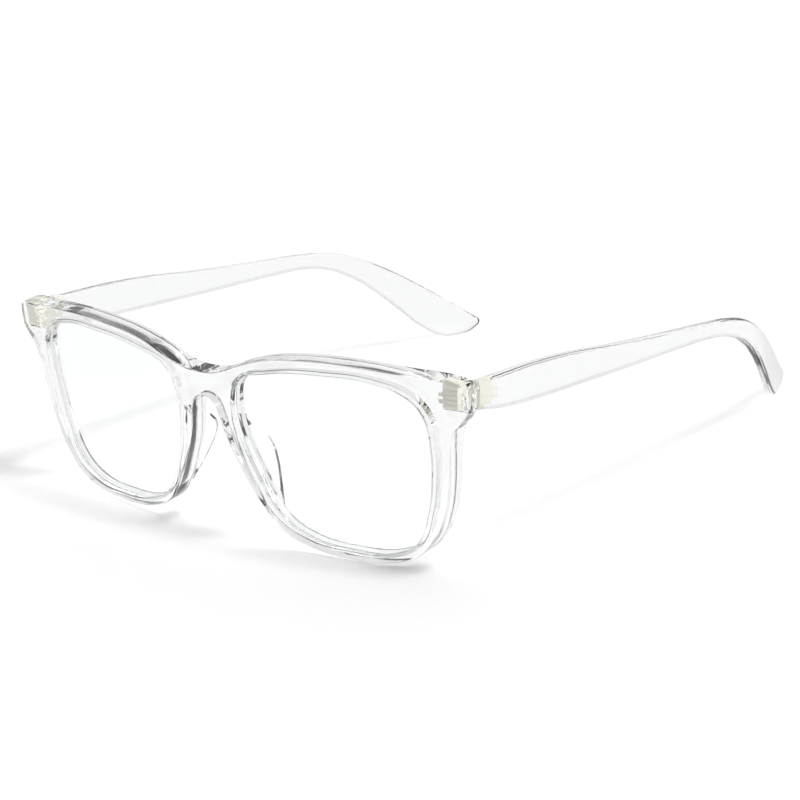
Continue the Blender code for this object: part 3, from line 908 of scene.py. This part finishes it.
@dataclass
class Hinge:
    """One hinge: a leaf in the front, a leaf in the temple and the screw between them."""

    layout: Layout
    sizes: HingeSizes
    knuckles: KnuckleTree
    tree: bpy.types.NodeTree

    def leaf(self, plan: Plan, arm: Plan, prongs: list[bpy.types.Mesh], first: int) -> bpy.types.Mesh:
        """Make one leaf in the hinge's frame.

        Args:
            plan: The leaf block's plan.
            arm: The plan of the arms that carry the knuckles.
            prongs: The prong meshes.
            first: The lowest knuckle of this leaf.

        Returns:
            The leaf's mesh.
        """
        sizes = self.sizes
        steps = [(shape, Cut.JOIN) for shape in prongs]
        half = sizes.knuckle_height / 2.0
        for number in range(first, sizes.knuckle_count, 2):
            level = sizes.level(number)
            inset = sizes.edge / 2.0
            steps.append((block(arm, level - half + inset, level + half - inset), Cut.JOIN))
        steps.append((self.knuckles.stack(self.tree, first, Finishes.get("nickel_silver")), Cut.JOIN))
        steps.append((rod(sizes.bore, -2.0 * sizes.half_stack, 2.0 * sizes.half_stack), Cut.REMOVE))
        return worked(block(plan, -sizes.half_stack, sizes.half_stack, sizes.edge), steps)

    def grooves(self) -> list[bpy.types.Mesh]:
        """Make the cutters for the grooves across the front leaf, level with the gaps in the knuckles.

        Returns:
            The cutters.
        """
        sizes = self.sizes
        left, near, right, _ = sizes.front_leaf
        plan = (left - sizes.groove_depth, near - sizes.groove_depth, right + MM, near + sizes.groove_depth)
        half = sizes.knuckle_gap / 2.0
        cutters = []
        for number in range(sizes.knuckle_count - 1):
            level = (sizes.level(number) + sizes.level(number + 1)) / 2.0
            cutters.append(block(plan, level - half, level + half))
        return cutters

    def front_prongs(self) -> list[bpy.types.Mesh]:
        """Make the prongs that hold the front leaf in the end piece.

        Returns:
            The prongs.
        """
        sizes = self.sizes
        left, near, _, far = sizes.front_leaf
        low = (near + far - sizes.prong_size) / 2.0
        plan = (left - sizes.front_prong, low, left + sizes.prong_root, low + sizes.prong_size)
        return [block(plan, bottom, top, sizes.edge) for bottom, top in sizes.prong_levels()]

    def temple_prongs(self) -> list[bpy.types.Mesh]:
        """Make the prongs that hold the temple leaf in the temple.

        Returns:
            The prongs.
        """
        sizes = self.sizes
        left, _, right, far = sizes.temple_leaf
        low = (left + right - sizes.prong_size) / 2.0
        plan = (low, far - sizes.prong_root, low + sizes.prong_size, far + sizes.temple_prong)
        return [block(plan, bottom, top, sizes.edge) for bottom, top in sizes.prong_levels()]

    def screw(self) -> bpy.types.Mesh:
        """Make the slotted screw in the hinge's frame.

        Returns:
            The screw's mesh.
        """
        sizes = self.sizes
        head_low = sizes.half_stack + sizes.head_gap
        head_high = head_low + sizes.head_height
        floor = head_high - sizes.head_height / 2.0
        reach = 2.0 * sizes.head_radius
        half_slot = sizes.slot_width / 2.0
        shank = rod(sizes.screw_radius, -sizes.half_stack - sizes.head_gap, floor)
        head = rod(sizes.head_radius, head_low, head_high, sizes.edge)
        slot = block((-reach, -half_slot, reach, half_slot), floor, head_high + reach)
        return worked(shank, [(head, Cut.JOIN), (slot, Cut.REMOVE)])

    def build(self) -> None:
        """Build both hinges."""
        sizes = self.sizes
        front_leaf = self.leaf(sizes.front_leaf, sizes.front_arm, self.front_prongs(), 0)
        front_leaf = worked(front_leaf, [(shape, Cut.REMOVE) for shape in self.grooves()])
        temple_leaf = self.leaf(sizes.temple_leaf, sizes.temple_arm, self.temple_prongs(), 1)
        shapes = {
            "front_hinge": (front_leaf, "nickel_silver"),
            "temple_hinge": (temple_leaf, "nickel_silver"),
            "hinge_screw": (self.screw(), "screw_steel"),
        }
        for kind, (shape, slot) in shapes.items():
            for side in Side:
                mesh = shape.copy() if side is Side.RIGHT else other_side(shape)
                mesh.transform(self.layout.hinge_frame(side))
                body = Body.temple(side) if kind == "temple_hinge" else Body.FRONT
                node = f"{kind}_{side.label}"
                finished(f"{node}_fine", mesh, slot, body, node, HINGE_SHARP_DEGREES)


@dataclass
class Front:
    """The moulded front with its two lens openings, drawn flat and then bent."""

    layout: Layout
    hinge: HingeSizes
    depth: float = 5.1 * MM
    edge: float = 0.45 * MM
    half_width: float = 70.0 * MM
    shoulder: float = 33.0 * MM
    end_low: float = 38.0 * MM
    joint_back: float = 0.6 * MM
    bend_step: float = 2.0 * MM
    lens_depth: float = 1.8 * MM
    lens_back: float = 1.5 * MM
    lens_lip: float = 0.6 * MM
    gap: float = 0.3 * MM
    steps: int = 14
    half: Outline = field(
        default_factory=lambda: [
            (0.0, 40.1, False),
            (6.0, 40.8, False),
            (12.5, 43.2, False),
            (20.0, 45.4, False),
            (30.0, 46.6, False),
            (40.0, 46.8, False),
            (55.0, 45.8, False),
            (67.0, 44.4, False),
            (69.3, 43.4, False),
            (70.0, 41.6, True),
            (70.0, 38.0, True),
            (68.3, 35.9, False),
            (66.3, 34.0, False),
            (65.0, 31.0, False),
            (64.3, 27.4, False),
            (63.4, 21.0, False),
            (61.6, 14.0, False),
            (58.2, 7.4, False),
            (52.8, 2.4, False),
            (46.0, 0.4, False),
            (40.5, 0.0, True),
            (33.5, 0.0, True),
            (26.0, 1.1, False),
            (18.0, 4.3, False),
            (13.2, 10.0, False),
            (8.7, 17.6, False),
            (5.4, 25.0, False),
            (4.2, 29.8, False),
            (2.8, 33.0, False),
            (0.0, 34.2, False),
        ]
    )
    opening: Outline = field(
        default_factory=lambda: [
            (60.0, 30.0, False),
            (59.2, 36.4, False),
            (55.8, 40.4, False),
            (48.8, 42.9, False),
            (36.0, 43.6, False),
            (20.0, 42.1, False),
            (11.4, 39.3, False),
            (8.9, 33.6, False),
            (9.6, 24.0, False),
            (12.6, 15.7, False),
            (16.6, 8.4, False),
            (23.6, 3.9, False),
            (36.0, 2.1, False),
            (48.0, 3.0, False),
            (54.2, 6.6, False),
            (57.6, 14.0, False),
            (59.4, 22.0, False),
        ]
    )

    def outline(self) -> Outline:
        """Return the whole outline, from the bridge's top round the right rim and back."""
        rest = [(-across, up, corner) for across, up, corner in reversed(self.half[1:-1])]
        return self.half + rest

    def lens_outline(self, side: Side) -> Outline:
        """Find the outline of one lens opening.

        Args:
            side: The lens's side.

        Returns:
            The closed outline.
        """
        if side is Side.RIGHT:
            return self.opening
        return [(-across, up, corner) for across, up, corner in reversed(self.opening)]

    def trimmed(self, place: Vector) -> Vector:
        """Thin the end pieces of the flat front so that they end on the joint planes.

        Args:
            place: A point of the front before.

        Returns:
            The point after.
        """
        share = min(max((place.z - self.shoulder) / (self.end_low - self.shoulder), 0.0), 1.0)
        to_front = self.layout.front_frame().inverted() @ self.layout.hinge_frame(Side.RIGHT)
        point = to_front @ Vector((0.0, -self.joint_back, 0.0))
        normal = to_front.to_3x3() @ Vector((0.0, 1.0, 0.0))
        joint = point.y - (place.z - point.z) * normal.z / normal.y
        room = joint - place.x**2 / (2.0 * self.layout.wrap_radius)
        squeeze = min(room / self.depth, 1.0)
        return Vector((place.x, place.y * (1.0 + (squeeze - 1.0) * share), place.z))

    def bent_plate(
        self, side: Side, grow: float, depth: float, back: float, edge: float
    ) -> bpy.types.Mesh:
        """Make a bent plate that follows one lens opening.

        Args:
            side: The lens's side.
            grow: How far the plate reaches past the opening.
            depth: Its thickness.
            back: How far its front face lies behind the front's.
            edge: The radius of its rounded edges.

        Returns:
            The mesh in the front's frame.
        """
        mesh = plate([self.lens_outline(side)], depth, edge, grow, self.steps)
        mesh.transform(Matrix.Translation((0.0, back, 0.0)))
        sliced(mesh, 0, self.bend_step - self.half_width, self.half_width, self.bend_step)
        moved(mesh, self.layout.wrapped)
        return mesh

    def rooms(self, side: Side) -> bpy.types.Mesh:
        """Make the cutter for a hinge's knuckles and the head of its screw.

        Args:
            side: The hinge's side.

        Returns:
            The cutter in the model's frame.
        """
        sizes = self.hinge
        reach = sizes.half_stack + sizes.room_gap
        shape = worked(
            block(sizes.front_room, -reach, reach),
            [(block(sizes.screw_room, 0.0, sizes.room_top), Cut.JOIN)],
        )
        if side is Side.LEFT:
            shape = other_side(shape)
        shape.transform(self.layout.hinge_frame(side))
        return shape

    def build(self) -> None:
        """Build the front."""
        outlines = [self.outline(), self.lens_outline(Side.RIGHT), self.lens_outline(Side.LEFT)]
        mesh = plate(outlines, self.depth, self.edge, 0.0, self.steps)
        sliced(mesh, 0, self.bend_step - self.half_width, self.half_width, self.bend_step)
        for level in (self.shoulder, self.end_low):
            sliced(mesh, 2, level, level, self.bend_step)
        moved(mesh, self.trimmed)
        moved(mesh, self.layout.wrapped)
        tools = []
        reach = self.lens_lip + self.gap
        depth = self.lens_depth + 2.0 * self.gap
        for side in Side:
            groove = self.bent_plate(side, reach, depth, self.lens_back - self.gap, 0.0)
            groove.transform(self.layout.front_frame())
            tools.append((groove, Cut.REMOVE))
            tools.append((self.rooms(side), Cut.REMOVE))
        mesh.transform(self.layout.front_frame())
        finished("frame_front_fine", worked(mesh, tools), "clear_plastic", Body.FRONT, "frame_front")


@dataclass
class Lenses:
    """The two fixed lenses, set in the rims' grooves."""

    layout: Layout
    front: Front
    edge: float = 0.12 * MM

    def build(self) -> None:
        """Build both lenses."""
        front = self.front
        for side in Side:
            mesh = front.bent_plate(side, front.lens_lip, front.lens_depth, front.lens_back, self.edge)
            mesh.transform(self.layout.front_frame())
            name = f"lens_{side.label}"
            finished(f"{name}_fine", mesh, "coated_lens", Body.FRONT, name)


@dataclass
class NosePads:
    """The two fin-shaped nose pads on the rims' rear."""

    layout: Layout
    front: Front
    thickness: float = 2.4 * MM
    edge: float = 0.7 * MM
    root_x: float = 7.5 * MM
    slant_top: float = 26.0 * MM
    slant: float = 0.5
    ease: float = 3.0 * MM
    low: float = 9.0 * MM
    bend_step: float = 0.8 * MM
    steps: int = 10
    outline: Outline = field(
        default_factory=lambda: [
            (0.0, 29.6, True),
            (1.0, 27.6, False),
            (2.9, 25.3, False),
            (4.7, 23.0, False),
            (5.3, 20.4, False),
            (4.7, 17.4, False),
            (3.3, 14.2, False),
            (1.7, 11.2, False),
            (0.0, 8.2, True),
        ]
    )

    def follow_rim(self, place: Vector) -> Vector:
        """Slant the upright pad along the nose side of the rim.

        Args:
            place: A point of the upright pad.

        Returns:
            The point after.
        """
        below = max(0.0, self.slant_top - place.z)
        across = place.x + self.root_x + self.slant * below**2 / (below + self.ease)
        return self.layout.wrapped(Vector((across, place.y + self.front.depth + self.front.gap, place.z)))

    def build(self) -> None:
        """Build both pads."""
        right = plate([self.outline], self.thickness, self.edge, 0.0, self.steps)
        lengthwise = Matrix.Rotation(math.pi / 2.0, 4, "Z")
        right.transform(Matrix.Translation((self.thickness / 2.0, 0.0, 0.0)) @ lengthwise)
        sliced(right, 2, self.low, self.slant_top, self.bend_step)
        moved(right, self.follow_rim)
        for side in Side:
            mesh = right.copy() if side is Side.RIGHT else other_side(right)
            mesh.transform(self.layout.front_frame())
            name = f"nose_pad_{side.label}"
            finished(f"{name}_fine", mesh, "pad_plastic", Body.FRONT, name)


@dataclass
class Temples:
    """The two temples, cut from a flat outline, thinned to the tip and curved in."""

    layout: Layout
    hinge: HingeSizes
    outer: float = 4.6 * MM
    thickness: float = 3.5 * MM
    tip_thickness: float = 2.3 * MM
    reach: float = 148.2 * MM
    convergence: float = 0.016
    curve_start: float = 88.0 * MM
    curve_end: float = 128.0 * MM
    curve_radius: float = 107.0 * MM
    edge: float = 1.3 * MM
    bend_step: float = 2.0 * MM
    steps: int = 14
    outline: Outline = field(
        default_factory=lambda: [
            (-0.3, 2.9, True),
            (6.0, 3.1, False),
            (20.0, 3.7, False),
            (34.0, 3.7, False),
            (50.0, 2.9, False),
            (72.0, 2.2, False),
            (90.0, 1.8, False),
            (99.0, 1.2, False),
            (109.0, -0.8, False),
            (120.6, -5.6, False),
            (131.0, -11.4, False),
            (140.0, -17.0, False),
            (146.4, -21.2, False),
            (148.2, -22.8, False),
            (146.4, -25.0, False),
            (142.0, -26.4, False),
            (137.8, -26.4, False),
            (131.6, -23.2, False),
            (124.2, -17.2, False),
            (117.0, -11.6, False),
            (109.5, -7.0, False),
            (101.5, -3.9, False),
            (92.4, -2.5, False),
            (78.8, -2.6, False),
            (60.0, -3.4, False),
            (40.0, -4.1, False),
            (24.0, -4.6, False),
            (12.0, -4.5, False),
            (4.0, -3.7, False),
            (-0.3, -3.2, True),
        ]
    )

    def inward(self, along: float) -> float:
        """Find how far the outer face has turned in.

        Args:
            along: The distance from the hinge.

        Returns:
            The distance inwards.
        """
        span = self.curve_end - self.curve_start
        curved = min(max(along - self.curve_start, 0.0), span)
        straight = max(along - self.curve_end, 0.0)
        inset = self.convergence * along + curved**2 / (2.0 * self.curve_radius)
        return inset + straight * span / self.curve_radius

    def shaped(self, place: Vector) -> Vector:
        """Thin the flat temple towards its tip and turn the tip in.

        Args:
            place: A point of the flat temple.

        Returns:
            The point after.
        """
        share = min(max(place.y / self.reach, 0.0), 1.0)
        thickness = self.thickness + (self.tip_thickness - self.thickness) * share
        depth = (self.outer - place.x) / self.thickness * thickness
        return Vector((self.outer - self.inward(place.y) - depth, place.y, place.z))

    def build(self) -> None:
        """Build both temples."""
        right = plate([self.outline], self.thickness, self.edge, 0.0, self.steps)
        lengthwise = Matrix.Rotation(math.pi / 2.0, 4, "Z")
        right.transform(Matrix.Translation((self.outer, 0.0, 0.0)) @ lengthwise)
        sliced(right, 1, self.bend_step * 2.0, self.reach, self.bend_step)
        moved(right, self.shaped)
        room = block(self.hinge.temple_room, -self.hinge.room_top, self.hinge.room_top)
        right = worked(right, [(room, Cut.REMOVE)])
        for side in Side:
            mesh = right.copy() if side is Side.RIGHT else other_side(right)
            mesh.transform(self.layout.hinge_frame(side))
            name = f"temple_{side.label}"
            finished(f"{name}_fine", mesh, "clear_plastic", Body.temple(side), name)


# --- Floor, light and camera ----------------------------------------------------------------------


@dataclass
class Studio:
    """A plain white floor, a bright room that is darker in front of the glasses, and two soft lamps."""

    floor_half: float = 4.0
    floor_drop: float = 0.02 * MM
    floor_colour: Colour = (0.92, 0.92, 0.92)
    floor_roughness: float = 0.9
    floor_gloss: float = 0.1
    room_light: float = 0.88
    dark_light: float = 0.02
    dark_start: float = 0.2
    dark_full: float = 0.7
    dark_towards: Vector = field(default_factory=lambda: Vector((0.1, -0.87, 0.45)))
    lamp_from: Vector = field(default_factory=lambda: Vector((0.42, 0.1, 0.9)))
    lamp_spread: float = math.radians(14.0)
    lamp_strength: float = 1.9
    fill_from: Vector = field(default_factory=lambda: Vector((0.55, -0.75, 0.3)))
    fill_spread: float = math.radians(30.0)
    fill_strength: float = 0.8

    def floor(self) -> None:
        """Lay the floor at the height the glasses stand on."""
        low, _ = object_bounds()
        work = bmesh.new()
        bmesh.ops.create_grid(work, x_segments=1, y_segments=1, size=self.floor_half)
        bmesh.ops.translate(work, verts=work.verts, vec=(0.0, 0.0, low.z - self.floor_drop))
        mesh = bpy.data.meshes.new("floor")
        work.to_mesh(mesh)
        work.free()
        material = bpy.data.materials.new("floor_white")
        material.use_nodes = True
        shader = material.node_tree.nodes["Principled BSDF"]
        shader.inputs["Base Color"].default_value = (*self.floor_colour, 1.0)
        shader.inputs["Roughness"].default_value = self.floor_roughness
        shader.inputs["Specular IOR Level"].default_value = self.floor_gloss
        mesh.materials.append(material)
        loose_object("floor", mesh)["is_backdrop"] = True

    def room(self) -> None:
        """Light the room evenly, and darker in front of the glasses."""
        world = bpy.data.worlds.new("studio")
        bpy.context.scene.world = world
        world.use_nodes = True
        bpy.context.scene.view_settings.view_transform = "Standard"
        nodes, links = world.node_tree.nodes, world.node_tree.links
        place = nodes.new("ShaderNodeTexCoord")
        facing = nodes.new("ShaderNodeVectorMath")
        facing.operation = "DOT_PRODUCT"
        facing.inputs[1].default_value = self.dark_towards.normalized()
        level = nodes.new("ShaderNodeMapRange")
        level.interpolation_type = "SMOOTHSTEP"
        level.inputs["From Min"].default_value = self.dark_start
        level.inputs["From Max"].default_value = self.dark_full
        level.inputs["To Min"].default_value = self.room_light
        level.inputs["To Max"].default_value = self.dark_light
        links.new(place.outputs["Generated"], facing.inputs[0])
        links.new(facing.outputs["Value"], level.inputs["Value"])
        links.new(level.outputs["Result"], nodes["Background"].inputs["Strength"])
        nodes["Background"].inputs["Color"].default_value = (1.0, 1.0, 1.0, 1.0)

    def lamp(self, name: str, towards: Vector, spread: float, strength: float) -> None:
        """Hang one far lamp.

        Args:
            name: The lamp's name.
            towards: The direction from the glasses to the lamp.
            spread: The angle it fills in the sky.
            strength: Its strength.
        """
        light = bpy.data.lights.new(name, "SUN")
        light.angle = spread
        light.energy = strength
        thing = loose_object(name, light)
        thing.rotation_euler = (-towards).to_track_quat("-Z", "Y").to_euler()

    def build(self) -> None:
        """Build the floor, the room and the lamps."""
        self.floor()
        self.room()
        self.lamp("soft_lamp", self.lamp_from, self.lamp_spread, self.lamp_strength)
        self.lamp("fill_lamp", self.fill_from, self.fill_spread, self.fill_strength)


@dataclass
class Viewpoint:
    """The camera: where it stands, where it looks, its roll and its lens."""

    layout: Layout
    place: Vector = field(default_factory=lambda: Vector((0.38812, -0.37385, 0.20228)))
    forward: Vector = field(default_factory=lambda: Vector((-0.63569, 0.70750, -0.30877)))
    roll: float = math.radians(-3.88)
    lens_mm: float = 112.1
    sensor_mm: float = 36.0
    nearest: float = 0.01

    def build(self) -> None:
        """Stand the camera and make it the scene's own."""
        camera = bpy.data.cameras.new("camera")
        camera.sensor_width = self.sensor_mm
        camera.lens = self.lens_mm
        camera.clip_start = self.nearest
        thing = loose_object("camera", camera)
        ahead = self.forward.normalized()
        across = ahead.cross(Vector((0.0, 0.0, 1.0))).normalized()
        upward = across.cross(ahead)
        right = math.cos(self.roll) * across + math.sin(self.roll) * upward
        above = -math.sin(self.roll) * across + math.cos(self.roll) * upward
        turn = Matrix((right, above, -ahead)).transposed()
        thing.matrix_world = Matrix.Translation(self.place + self.layout.shift()) @ turn.to_4x4()
        bpy.context.scene.camera = thing


def main() -> None:
    """Build every sub-assembly, then the studio and the camera."""
    logging.basicConfig(level=logging.INFO, format="%(name)s: %(message)s")
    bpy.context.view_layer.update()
    layout = Layout()
    sizes = HingeSizes()
    front = Front(layout, sizes)
    front.build()
    Lenses(layout, front).build()
    NosePads(layout, front).build()
    knuckles = KnuckleTree(sizes)
    Hinge(layout, sizes, knuckles, knuckles.build()).build()
    Temples(layout, sizes).build()
    Studio().build()
    Viewpoint(layout).build()


if __name__ == "__main__":
    main()
